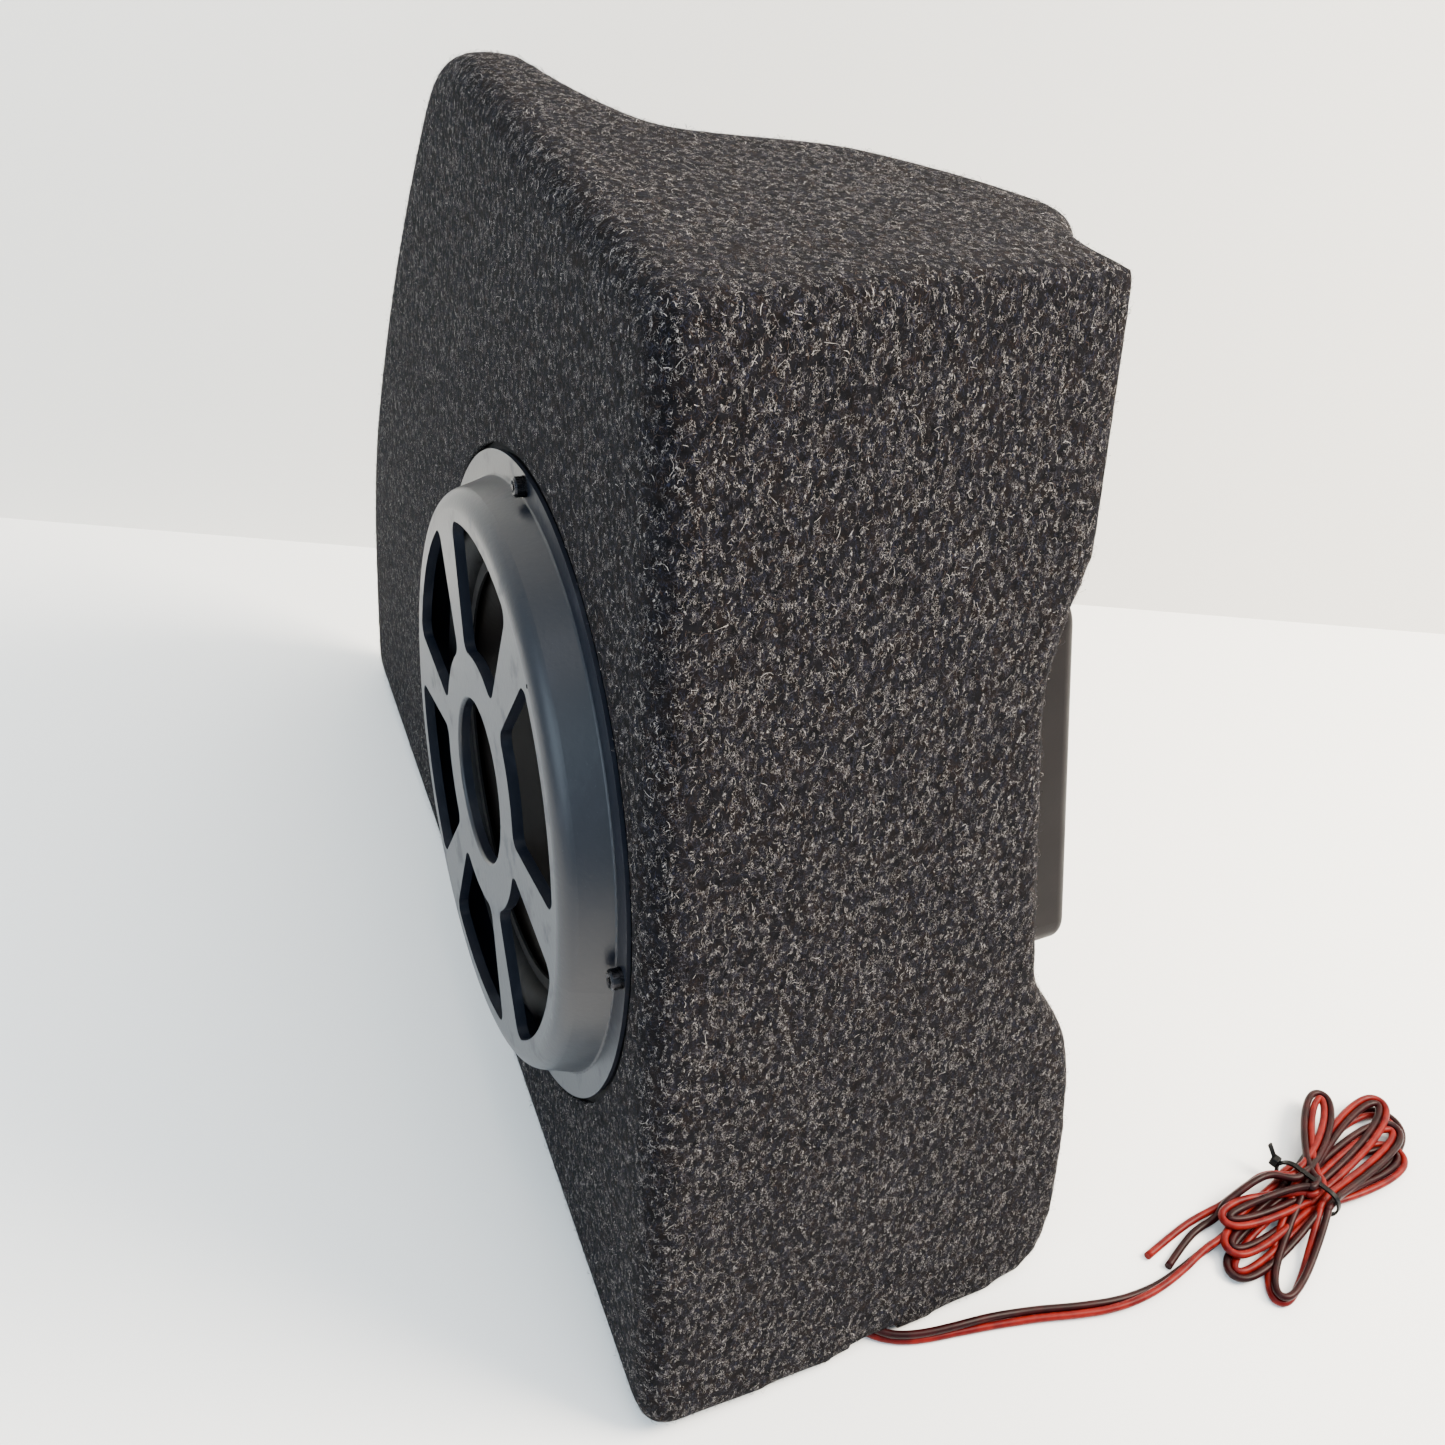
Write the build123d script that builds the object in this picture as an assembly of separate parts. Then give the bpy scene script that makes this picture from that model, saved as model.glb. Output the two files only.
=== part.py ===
from build123d import *
import math
import os

# Powered car subwoofer: a carpeted corner enclosure with a ten inch driver behind a
# pressed grille, a slim amplifier module in the waist of its back, and a two-core lead.
#
# Row frame: millimetres, +Z up, the floor at Z = 0, the driver faces -Y.
# Cabinet shapes are drawn in bench coordinates: x from the driver's axis, y the depth
# behind the carpet's front face, z the height above the floor. to_row() places them.

os.makedirs("parts", exist_ok=True)

# ---- enclosure ----
HEIGHT = 436.0
NEAR_BOTTOM_X = 208.0  # the near side leans in from here at the floor ...
NEAR_TOP_X = 100.0  # ... to here at the top
TOE_IN = math.tan(math.radians(6.35))  # the near side closes in towards the back
FAR_EDGE = [(-340, 0), (-346, 60), (-341, 150), (-304, 245), (-244, 345), (-174, HEIGHT)]
FAR_TOP_R = 84.0
BACK_CURVE = [
    (0.0, 19), (0.12, 29), (0.25, 36.5), (0.38, 49), (0.43, 57.5), (0.455, 71), (0.476, 91),
    (0.495, 111), (0.523, 126), (0.58, 143), (0.635, 159), (0.69, 170), (0.74, 181), (0.82, 192),
    (0.9, 200), (1.0, 204),
]  # (share of the width from the far end, depth), at the top of the box
BACK_SPREAD = 0.2  # how much deeper the same curve is at the floor
WAIST_LOW = (177, 160)  # (y, z) of the straight waist across the back
WAIST_HIGH = (160, 288)
BULGE_LOW = [(178, 0), (206.5, 48), (206, 82), (197, 130), WAIST_LOW]
BULGE_HIGH = [WAIST_HIGH, (168.5, 320), (177.5, 347), (185.5, 388), (184.5, 421), (175, HEIGHT)]
GROOVE_R = 28.0  # a shallow groove down the upper bulge, beside the near edge
GROOVE_Y = 194.5
GROOVE_TOP_X = 58.0
CORNER_R = 14.0
FRONT_EDGE_R = 12.0
CARPET = 3.0
SHELL_WALL = 4.0
BAFFLE = 15.0
BRACE = 12.0
BRACE_HOLE_R = 21.0
BRACES = {
    "lower_brace": (27.0, [(-56, 60), (6, 66), (72, 88), (130, 66)]),
    "upper_brace": (336.0, [(-50, 60), (6, 66), (60, 60)]),
}  # the level of each and the places of its lightening holes, x and y

# ---- driver ----
DRIVER_X = 69.47
FRONT_Y = -92.8
DRIVER_Z = 186.0
BAFFLE_HOLE_R = 115.5
CARPET_HOLE_R = 138.5
FRAME_R = 135.4
SCREW_CIRCLE_R = 131.2
SCREW_COUNT = 4
PATTERN_TURN = 6.0  # the screws and the grille's spokes are turned by this, in degrees
COIL_R = 25.4
CONE_R = 94.0
TRAVEL = 8.0

# ---- grille ----
GRILLE_R = 136.0
GRILLE_RISE = 19.7
GRILLE_SHEET = 1.6
HUB_HOLE_R = 34.9
SPOKES = 6
OPENING_R = (55.0, 108.5)
SPOKE_HALF_ANGLE = 7.3

# ---- amplifier module, drawn flat: x to the viewer's right from behind, y up, z out ----
AMP_TILT = math.degrees(math.atan2(WAIST_LOW[0] - WAIST_HIGH[0], WAIST_HIGH[1] - WAIST_LOW[1]))
AMP_CENTRE_X = 45.0
AMP_CENTRE_Z = 238.0
AMP_OUTLINE = [(-91, -78), (70, -78), (70, 78), (-55, 78)]
AMP_CORNER_R = 14.0
AMP_DEPTH = 21.0
AMP_BASE = 3.0
AMP_WALL = 2.0
PANEL = (-64, 48, -62, -30)  # the control recess: x from, x to, y from, y to
PANEL_DEPTH = 9.0
BOARD_Z = 6.0
KNOB_X = {"gain_knob": -14.0, "crossover_knob": 6.0}
KNOB_Y = -46.0
AMP_SCREWS = [(-80, -67), (60, -67), (60, 67), (-46, 67)]
WIRE_HOLE = (45.0, 50.0)
WIRE_HOLE_R = 9.0

# ---- lead ----
CORE_D = 3.6
LEAD_D = 5.0  # a round tube with the section of the two cores side by side
TUNNEL_X = 150.0  # a low tunnel in the underside, from the near side to a deeper pocket
TUNNEL_Y = (97.0, 123.0)
TUNNEL_Z = 8.0
POCKET_X = 118.0
POCKET_Z = 20.0
GROMMET_Y = 104.2
GROMMET_Z = 13.0
LEAD_ROUTE = [
    (121, 104.2, 13.0), (132, 104.2, 12.0), (143, 104.1, 7.6), (154, 104.0, 3.9),
    (166, 103.8, 2.7), (177.6, 104.2, 2.6), (187.2, 108, 2.6),
    (193.2, 114.4, 2.6), (196.8, 122, 2.6), (199.2, 133, 2.6), (200.5, 148, 2.6),
    (201.8, 166, 2.6), (204.6, 186, 2.6), (209.2, 206, 2.6), (212.2, 225, 2.6),
    (211.8, 245, 2.6), (207.8, 263, 2.6), (202.4, 279, 2.6), (199.6, 292, 2.6),
]
SUPPLY_ROUTE = [
    (120.6, 104.2, 13.0), (106, 102, 13.6), (91, 96, 18), (78, 89, 28), (70, 88, 42), (64, 97, 56),
    (56, 112, 72), (46, 126, 90), (34, 135, 110), (22, 140, 134), (13, 142, 160), (7, 142, 188),
    (4, 143, 214), (3.4, 145, 240), (3.4, 147, 262), (3.4, 150.4, 276), (3.4, 157, 287),
]
SPEAKER_D = 4.0
SPEAKER_ROUTE = [
    (-2.6, 157, 288.6), (-3.2, 150, 276), (-8, 143, 262), (-19, 137, 244), (-31, 131, 222),
    (-38, 127, 196), (-39, 124, 168), (-33, 117, 142), (-24, 106, 118), (-13, 92, 100),
    (-4, 75, 88), (2, 58, 82.6), (4, 41.2, 81.6),
]
HANK_OUTLINE = [
    (178, 348), (160, 366), (144, 391), (142, 406), (150, 427), (162, 435), (178, 433),
    (189, 421), (194, 400), (199, 375), (206, 354), (227, 330), (238, 311), (236, 298),
    (222, 288), (205, 288), (190, 294), (183, 306), (185, 324),
]
HANK_HEIGHT = 15.0
HANK_TIE = (191.0, 351.0)
HANK_DIRECTION = (-0.385, 0.923)
TAIL_ENDS = {
    "lead_tail_red": [(184.6, 299, 3.6), (186, 286, 2.2), (190, 271, 1.9), (195.4, 254, 1.9)],
    "lead_tail_dark": [(189, 299, 3.6), (190.6, 286, 2.2), (196, 273.4, 1.9), (203, 260.6, 1.9)],
}


# ---------------------------------------------------------------- helpers
def to_row(shape):
    """Bench coordinates to the row frame."""
    return Pos(DRIVER_X, FRONT_Y, 0) * shape


def on_driver(shape):
    """A shape turned about the Y axis, with y as depth, to the driver's place."""
    return Pos(DRIVER_X, FRONT_Y, DRIVER_Z) * shape


def turned(points, rounds=()):
    """A closed (radius, depth) outline turned about Y. rounds: ((r, d), radius) corners."""
    face = make_face(Polyline(*points, close=True))
    for corner, radius in rounds:
        face = fillet(face.vertices().sort_by_distance(corner)[0], radius)
    return revolve(face, axis=Axis.Y)


def ring(inner, outer, front, back):
    """A flat ring about Y."""
    return turned([(inner, front), (outer, front), (outer, back), (inner, back)])


def disc(radius, front, back):
    """A round plate about Y."""
    return turned([(0, front), (radius, front), (radius, back), (0, back)])


def along_y(face, front, back):
    """A face drawn with x right and z up, extruded from one depth to another."""
    return Pos(0, front, 0) * extrude(Plane.XZ * face, amount=back - front, dir=(0, 1, 0))


def polar(radius, angle):
    """x and z at an angle about the driver's axis, seen from the front."""
    return radius * math.cos(math.radians(angle)), radius * math.sin(math.radians(angle))


def around(count, start=PATTERN_TURN):
    """Equal angles about the driver's axis."""
    return [start + 360 * i / count for i in range(count)]


def joined(shapes):
    """All shapes fused into one."""
    total = shapes[0]
    for shape in shapes[1:]:
        total = total + shape
    return total


def group(shapes):
    """Separate solids that share one node."""
    return Compound(children=shapes)


def box(x, y, z):
    """A box from (low, high) pairs."""
    size = (x[1] - x[0], y[1] - y[0], z[1] - z[0])
    return Pos(x[0], y[0], z[0]) * Box(*size, align=(Align.MIN, Align.MIN, Align.MIN))


def rod(radius, z_low, z_high, x=0.0, y=0.0):
    """A round bar along z."""
    return Pos(x, y, z_low) * Cylinder(radius, z_high - z_low, align=(Align.CENTER, Align.CENTER, Align.MIN))


# ---------------------------------------------------------------- enclosure
def near_x(z):
    return NEAR_BOTTOM_X + (NEAR_TOP_X - NEAR_BOTTOM_X) * z / HEIGHT


def far_x(z):
    for (x0, z0), (x1, z1) in zip(FAR_EDGE, FAR_EDGE[1:]):
        if z <= z1:
            return x0 + (x1 - x0) * (z - z0) / (z1 - z0)
    return FAR_EDGE[-1][0]


def front_outline(inset):
    """The front seen from the driver's side, x and z; its far top corner is much rounder."""
    low, high = inset, HEIGHT - inset
    far = [(far_x(low) + inset, low)]
    far += [(x + inset, z) for x, z in FAR_EDGE[1:-1]]
    far += [(far_x(high) + inset, high)]
    straight = Polyline(far[0], (near_x(low) - inset, low), (near_x(high) - inset, high), far[-1])
    face = make_face([*straight.edges(), Spline(*reversed(far))])
    face = fillet([v for v in face.vertices() if v.X < 0 and v.Y > HEIGHT / 2], FAR_TOP_R - inset)
    rest = [v for v in face.vertices() if v.X > 0 or v.Y < HEIGHT / 2]
    return fillet(rest, CORNER_R - inset)


def side_outline(inset):
    """The near side's outline, y and z: two bulges and the waist between them."""
    low = [(y - inset, max(z, inset)) for y, z in BULGE_LOW]
    high = [(y - inset, min(z, HEIGHT - inset)) for y, z in BULGE_HIGH]
    rest = Polyline(high[-1], (0, HEIGHT - inset), (0, inset), low[0])
    curves = [Spline(*low, tangents=[(1, 0), (-0.55, 1)]), Line(low[-1], high[0]), Spline(*high)]
    return make_face([*curves, *rest.edges()])


def plan_outline(z, inset):
    """The outline from above at height z: straight front, S-curved back, closing near side."""
    stretch = 1 + BACK_SPREAD * (1 - z / HEIGHT)
    far = far_x(z) - 6 + inset
    near = near_x(z) - inset
    points = []
    for share, depth in BACK_CURVE:
        y = depth * stretch - 1.25 * inset
        points.append((far + share * (near - far) - TOE_IN * y * share**8, y))
    start = (far, -5)
    end = (near + 5 * TOE_IN, -5)
    rest = Polyline(points[-1], end, start, points[0])
    return Pos(0, 0, z) * make_face([Spline(*points), *rest.edges()])


def enclosure_block(inset):
    """The whole enclosure as one solid, drawn in from its surface by inset."""
    front = along_y(front_outline(inset), inset, 240)
    front = fillet(front.faces().sort_by(Axis.Y)[0].edges(), FRONT_EDGE_R - inset)
    side = extrude(Plane.YZ * side_outline(inset), amount=400, both=True)
    plan = loft([plan_outline(z, inset) for z in (0, 60, 150, 245, 345, HEIGHT)])
    return (front & side & plan) - groove(inset)


def groove(inset):
    """A leaning round bar that cuts the groove in the upper bulge."""
    lean = (NEAR_TOP_X - NEAR_BOTTOM_X) / HEIGHT
    axis = Plane((GROOVE_TOP_X, GROOVE_Y, HEIGHT), z_dir=(lean, 0, 1))
    return axis * Pos(0, 0, -30) * Cylinder(GROOVE_R + inset, 160)


# ---------------------------------------------------------------- amplifier placing
def amp_plane():
    """The module's mounting plane: on the bare shell in the waist, z pointing out."""
    tilt = math.radians(AMP_TILT)
    share = (AMP_CENTRE_Z - WAIST_LOW[1]) / (WAIST_HIGH[1] - WAIST_LOW[1])
    y = WAIST_LOW[0] + share * (WAIST_HIGH[0] - WAIST_LOW[0]) - CARPET / math.cos(tilt)
    return Plane((AMP_CENTRE_X, y, AMP_CENTRE_Z), x_dir=(-1, 0, 0), z_dir=(0, math.cos(tilt), math.sin(tilt)))


AMP_PLACE = Location(amp_plane())


def on_amp(shape):
    """A shape drawn flat on the module's plane, to the row frame."""
    return to_row(AMP_PLACE * shape)


def amp_prism(grow, z_low, z_high):
    """The module's outline, grown, between two heights."""
    face = make_face(Polyline(*AMP_OUTLINE, close=True))
    face = fillet(face.vertices(), AMP_CORNER_R)
    if grow:
        face = offset(face, grow)
    return Pos(0, 0, z_low) * extrude(face, amount=z_high - z_low)


def make_enclosure():
    outer = enclosure_block(0)
    skin = enclosure_block(CARPET)
    inside = enclosure_block(CARPET + SHELL_WALL)
    pocket = AMP_PLACE * amp_prism(1.0, 0, 60)
    bare_back = AMP_PLACE * amp_prism(7.0, -2.0, 60)
    wall = SHELL_WALL
    wall_y = (TUNNEL_Y[0] - wall, TUNNEL_Y[1] + wall)
    tunnel = box((TUNNEL_X - 1, 260), TUNNEL_Y, (-1, TUNNEL_Z))
    tunnel = tunnel + box((POCKET_X, TUNNEL_X), TUNNEL_Y, (-1, POCKET_Z))
    tunnel_walls = box((TUNNEL_X, 260), wall_y, (0, TUNNEL_Z + wall))
    tunnel_walls = tunnel_walls + box((POCKET_X - wall, TUNNEL_X + wall), wall_y, (0, POCKET_Z + wall))
    behind_baffle = box((-400, 300), (CARPET + BAFFLE, 260), (-5, 450))
    inside = inside - AMP_PLACE * amp_prism(4.0, -4.0, 60) - tunnel_walls

    carpet = outer - skin - bare_back - tunnel
    carpet = carpet - Pos(0, 0, DRIVER_Z) * disc(CARPET_HOLE_R, -5, 12)

    shell = (skin - inside - pocket - tunnel) & behind_baffle
    grommet_hole = Pos(0, GROMMET_Y, GROMMET_Z) * (Rot(0, 90, 0) * rod(3.5, POCKET_X - 8, POCKET_X + 3))
    wire_hole = AMP_PLACE * rod(WIRE_HOLE_R, -20, 5, *WIRE_HOLE)
    screw_holes = AMP_PLACE * joined([rod(1.6, -8, 5, x, y) for x, y in AMP_SCREWS])
    bosses = AMP_PLACE * joined([rod(5.0, -10, -1, x, y) for x, y in AMP_SCREWS])
    shell = shell + (bosses & inside) - grommet_hole - wire_hole - screw_holes

    baffle = skin - box((-400, 300), (CARPET + BAFFLE, 260), (-5, 450))
    baffle = baffle - Pos(0, 0, DRIVER_Z) * disc(BAFFLE_HOLE_R, -5, 40)
    pilots = []
    for angle in around(SCREW_COUNT):
        x, z = polar(SCREW_CIRCLE_R, angle)
        pilots.append(Pos(x, 0, DRIVER_Z + z) * disc(1.7, -5, 17))
    baffle = baffle - joined(pilots)

    parts = {"carpet_cover": to_row(carpet), "enclosure_shell": to_row(shell), "front_baffle": to_row(baffle)}
    for name, (level, holes) in BRACES.items():
        plate = inside & box((-400, 300), (CARPET + BAFFLE, 260), (level, level + BRACE))
        holes = joined([rod(BRACE_HOLE_R, level - 5, level + BRACE + 5, x, y) for x, y in holes])
        parts[name] = to_row(plate - holes)
    return parts


def make_wadding():
    """A loose pad of polyester wadding in the thin far end."""
    pad = Pos(-165, 25, 125) * Box(60, 11, 150)
    return {"acoustic_wadding": to_row(fillet(pad.edges(), 5))}


# ---------------------------------------------------------------- driver
def make_frame():
    """Stamped basket: flange, drum, six legs, spider shelf and motor seat."""
    sheet = 1.4
    body = turned(
        [
            (112.6, 0.5), (FRAME_R, 0.5), (FRAME_R, 1.9), (114, 1.9), (114, 16), (81, 50.4),
            (68.4, 50.4), (68.4, 62), (30, 62), (30, 62 - sheet), (67, 62 - sheet),
            (67, 49), (80.4, 49), (112.6, 15.4),
        ]
    )
    window = make_face(Polyline((86, -14), (106, -20), (106, 20), (86, 14), close=True))
    window = fillet(window.vertices(), 5)
    for angle in around(6, 30 + PATTERN_TURN):
        body = body - along_y(Rot(0, 0, angle) * window, 10, 60)
    for angle in around(SCREW_COUNT):
        x, z = polar(SCREW_CIRCLE_R, angle)
        body = body - Pos(x, 0, z) * disc(2.4, -1, 4)
    return on_driver(body)


def make_gasket():
    """Foam ring between the flange and the baffle, with a hole at each screw."""
    gasket = ring(118, 135, 1.9, CARPET)
    for angle in around(SCREW_COUNT):
        x, z = polar(SCREW_CIRCLE_R, angle)
        gasket = gasket - Pos(x, 0, z) * disc(2.4, 0, 5)
    return on_driver(gasket)


def make_cone():
    """Straight-sided cone with its neck on the coil former."""
    return on_driver(
        turned([(CONE_R, 1.0), (CONE_R, 2.2), (COIL_R + 1.0, 46), (COIL_R + 0.3, 46), (COIL_R + 0.3, 43.8)])
    )


def make_dust_cap():
    """Domed cap glued to the cone."""
    dome = turned([(0, 18.6), (44, 30.2), (44.6, 31.6), (43.4, 31.6), (0, 19.8)])
    return on_driver(dome)


def make_surround():
    """Half-roll rubber surround with an inner and an outer lip."""
    middle = 102.5
    centre = (middle, 0.4)
    outer = Circle(8.3) - Circle(7.1)
    half = (Pos(*centre) * outer) & (Pos(middle, -7.6) * Rectangle(40, 16))
    lips = Pos(91.6, -0.2) * Rectangle(5.6, 1.2) + Pos(113.6, -0.2) * Rectangle(7.0, 1.2)
    inner_foot = Pos(94.6, -0.2) * Rectangle(1.6, 1.2)
    face = half + lips + inner_foot
    return on_driver(revolve(face, axis=Axis.Y))


def make_spider():
    """Corrugated damper from the coil former to the frame's shelf."""
    amplitude = 1.3
    points = []
    inner, outer = COIL_R + 0.3, 78.0
    for i in range(25):
        r = inner + (outer - inner) * i / 24
        wave = 0.0 if i < 2 or i > 21 else amplitude * math.sin((i - 1) * math.pi / 2)
        points.append((r, 48.3 + wave))
    back = [(r, d + 0.6) for r, d in reversed(points)]
    return on_driver(turned(points + back))


def make_motor():
    top_plate = ring(COIL_R + 2.2, 60, 62, 70)
    magnet = ring(34, 65, 70, 90)
    yoke = disc(62, 90, 98) + disc(COIL_R - 0.9, 62, 90) - disc(8, 50, 110)
    return {
        "top_plate": on_driver(top_plate),
        "magnet": on_driver(magnet),
        "pole_yoke": on_driver(yoke),
        "voice_coil_former": on_driver(ring(COIL_R - 0.15, COIL_R + 0.15, 41, 78)),
        "voice_coil_winding": on_driver(ring(COIL_R + 0.15, COIL_R + 1.3, 58, 75)),
    }


def at_window(shape):
    """Drawn below the axis, turned to the basket's nearest window."""
    return on_driver(Rot(0, -PATTERN_TURN, 0) * shape)


def make_terminals():
    """Terminal board across one window of the basket, with two tags."""
    board = along_y(Pos(0, -99.7) * Rectangle(34, 2.4), 33, 47)
    tags = [along_y(Pos(x, -104.3) * Rectangle(4.8, 6.6), 40, 40.8) for x in (-7, 7)]
    return {
        "terminal_board": at_window(board),
        "terminal_tags": at_window(group(tags)),
    }


def make_tinsel_leads():
    """Two slack braids from the terminal board to the cone."""
    leads = []
    for x in (-7, 7):
        path = FilletPolyline(
            (x, 36, -98.3), (x, 32, -88), (x, 34, -74), (x * 0.8, 25.4, -60), radius=5
        )
        leads.append(sweep(Plane(path @ 0, z_dir=path % 0) * Circle(0.8), path=path))
    return at_window(group(leads))


def make_driver():
    parts = {
        "driver_frame": make_frame(),
        "frame_gasket": make_gasket(),
        "cone": make_cone(),
        "dust_cap": make_dust_cap(),
        "surround": make_surround(),
        "spider": make_spider(),
        "tinsel_leads": make_tinsel_leads(),
    }
    parts.update(make_motor())
    parts.update(make_terminals())
    return parts


# ---------------------------------------------------------------- grille
def sector(inner, outer, half_angle, radius):
    """A rounded annular sector about the x axis."""
    reach = outer * 2
    angle = math.radians(half_angle)
    wedge = make_face(
        Polyline(
            (0, 0), (reach, -reach * math.tan(angle)), (reach, reach * math.tan(angle)), close=True
        )
    )
    face = (Circle(outer) - Circle(inner)) & wedge
    return fillet(face.vertices(), radius)


def make_grille():
    """Pressed dish on a flat flange, six openings with rolled-in lips, round centre hole."""
    front = -GRILLE_RISE
    sheet = GRILLE_SHEET
    flange_front, flange_back = -1.1, 0.5
    shoulder = 111.0
    dish = turned(
        [
            (GRILLE_R, flange_front), (125.6, flange_front), (119.8, front), (HUB_HOLE_R, front),
            (HUB_HOLE_R, front + 5), (HUB_HOLE_R + sheet, front + 5), (HUB_HOLE_R + sheet, front + sheet),
            (119.8 - sheet, front + sheet), (125.2 - sheet, flange_back), (GRILLE_R, flange_back),
        ],
        rounds=[
            ((125.6, flange_front), 0.9), ((119.8, front), 8.6),
            ((119.8 - sheet, front + sheet), 7.0), ((HUB_HOLE_R, front), 1.4),
        ],
    )
    half = 180 / SPOKES - SPOKE_HALF_ANGLE
    opening = sector(*OPENING_R, half, 6.0)
    lip = offset(opening, 1.3) - opening
    for angle in around(SPOKES, PATTERN_TURN + 180 / SPOKES):
        dish = dish - along_y(Rot(0, 0, angle) * opening, front - 2, front + 8)
        dish = dish + along_y(Rot(0, 0, angle) * lip, front + sheet / 2, front + 4.5)
    mark_x, mark_z = polar(shoulder + 2.2, 57)
    dish = dish - Pos(mark_x, 0, mark_z) * disc(0.9, front - 1, front + 5)
    for angle in around(SCREW_COUNT):
        x, z = polar(SCREW_CIRCLE_R, angle)
        dish = dish - Pos(x, 0, z) * disc(2.4, -3, 2)
    return on_driver(dish)


def make_grille_screws():
    """Four pan head wood screws with washers, through flange, frame and gasket."""
    screw = turned(
        [(0, -6.0), (1.2, -6.0), (1.2, -4.8), (3.0, -6.0), (4.0, -5.0), (4.0, -2.3), (2.0, -2.3),
         (2.0, 1.8), (1.6, 2.8), (1.6, 13.5), (0, 16.5)],
        rounds=[((3.0, -6.0), 0.8)],
    )
    washer = ring(2.2, 4.2, -2.2, -1.1)
    screws = []
    washers = []
    for angle in around(SCREW_COUNT):
        x, z = polar(SCREW_CIRCLE_R, angle)
        screws.append(Pos(x, 0, z) * screw)
        washers.append(Pos(x, 0, z) * washer)
    return {"grille_screws": on_driver(group(screws)), "screw_washers": on_driver(group(washers))}


# ---------------------------------------------------------------- amplifier
def make_amp_casing():
    """Aluminium base plate, foam seal and moulded cover with the control recess."""
    seal = amp_prism(-0.5, 0, 0.8) - amp_prism(-6, -1, 2)
    base = amp_prism(-0.5, 0.8, AMP_BASE)
    cover = amp_prism(0, AMP_BASE, AMP_DEPTH)
    cover = fillet(cover.faces().sort_by(Axis.Z)[-1].edges(), 5)
    hollow = amp_prism(-AMP_WALL, AMP_BASE - 1, AMP_DEPTH - AMP_WALL)
    hollow = fillet(hollow.faces().sort_by(Axis.Z)[-1].edges(), 3)
    x0, x1, y0, y1 = PANEL
    floor = AMP_DEPTH - PANEL_DEPTH
    recess = fillet(box((x0, x1), (y0, y1), (floor, AMP_DEPTH + 5)).edges().filter_by(Axis.Z), 5)
    tub = box((x0 - AMP_WALL, x1 + AMP_WALL), (y0 - AMP_WALL, y1 + AMP_WALL), (floor - AMP_WALL, AMP_DEPTH - 1))
    posts = joined([rod(4.6, AMP_BASE, AMP_DEPTH - 1, x, y) for x, y in AMP_SCREWS])
    cover = cover - hollow + tub + posts - recess
    for x, y in AMP_SCREWS:
        cover = cover - rod(2.1, 0, AMP_DEPTH + 2, x, y) - rod(4.4, AMP_DEPTH - 2.6, AMP_DEPTH + 2, x, y)
        base = base - rod(2.1, -1, AMP_BASE + 1, x, y)
        seal = seal - rod(2.1, -1, AMP_BASE + 1, x, y)
    through = rod(WIRE_HOLE_R, -2, AMP_BASE + 1, *WIRE_HOLE)
    for x in KNOB_X.values():
        cover = cover - rod(3.3, floor - 5, floor + 1, x, KNOB_Y)
    cover = cover - box((21, 31), (KNOB_Y - 3, KNOB_Y + 3), (floor - 5, floor + 1))
    for x in (-52, -36):
        cover = cover - rod(4.3, floor - 5, floor + 1, x, KNOB_Y)
    cover = cover - rod(1.7, floor - 5, floor + 1, 40, KNOB_Y)
    return {
        "amp_seal": on_amp(seal),
        "amp_base_plate": on_amp(base - through),
        "amp_cover": on_amp(cover),
    }


def make_amp_electronics():
    """Board on standoffs with the parts of a switching supply and a class D stage."""
    top = BOARD_Z + 1.6
    board = box((-68, 58), (-64, 62), (BOARD_Z, top))
    board = board & amp_prism(-AMP_WALL - 1, 0, AMP_DEPTH)
    board = board - rod(WIRE_HOLE_R + 1, 0, 10, *WIRE_HOLE) - joined([rod(5.4, 0, 10, x, y) for x, y in AMP_SCREWS])
    spots = [(-55, -20), (48, -20), (-30, 52), (20, 55)]
    standoffs = [rod(3.0, AMP_BASE, BOARD_Z, x, y) for x, y in spots]
    core = Pos(14, 22, top + 5.2) * Torus(11.5, 4.6)
    winding = [Pos(-22, 22, top + 3.4) * (Rot(0, 90, 0) * Cylinder(3.2, 24))]
    winding.append(Pos(-22, 34, top + 3.4) * (Rot(0, 90, 0) * Cylinder(3.2, 24)))
    cans = [Pos(x, -8, top + 5.1) * (Rot(90, 0, 0) * fillet(Cylinder(5.0, 22).edges(), 0.8)) for x in (-40, -26, 30)]
    devices = [box((x, x + 10), (50, 54.5), (top, top + 9.5)) for x in (-24, -10, 4, 18)]
    sink = box((-30, 34), (54.6, 57.6), (top, top + 9.5))
    block = box((36, 56), (10, 22), (top, top + 9))
    block = block - joined([rod(1.6, top + 3, top + 12, x, 16) for x in (41, 51)])
    fuse = box((36, 52), (-24, -18), (top, top + 8.5))
    fuse = fillet(fuse.edges().filter_by(Axis.Z), 1)
    return {
        "circuit_board": on_amp(board),
        "board_standoffs": on_amp(group(standoffs)),
        "supply_toroid": on_amp(core),
        "filter_chokes": on_amp(group(winding)),
        "reservoir_capacitors": on_amp(group(cans)),
        "power_transistors": on_amp(group(devices)),
        "transistor_bar": on_amp(sink),
        "terminal_block": on_amp(block),
        "blade_fuse": on_amp(fuse),
    }


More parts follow.
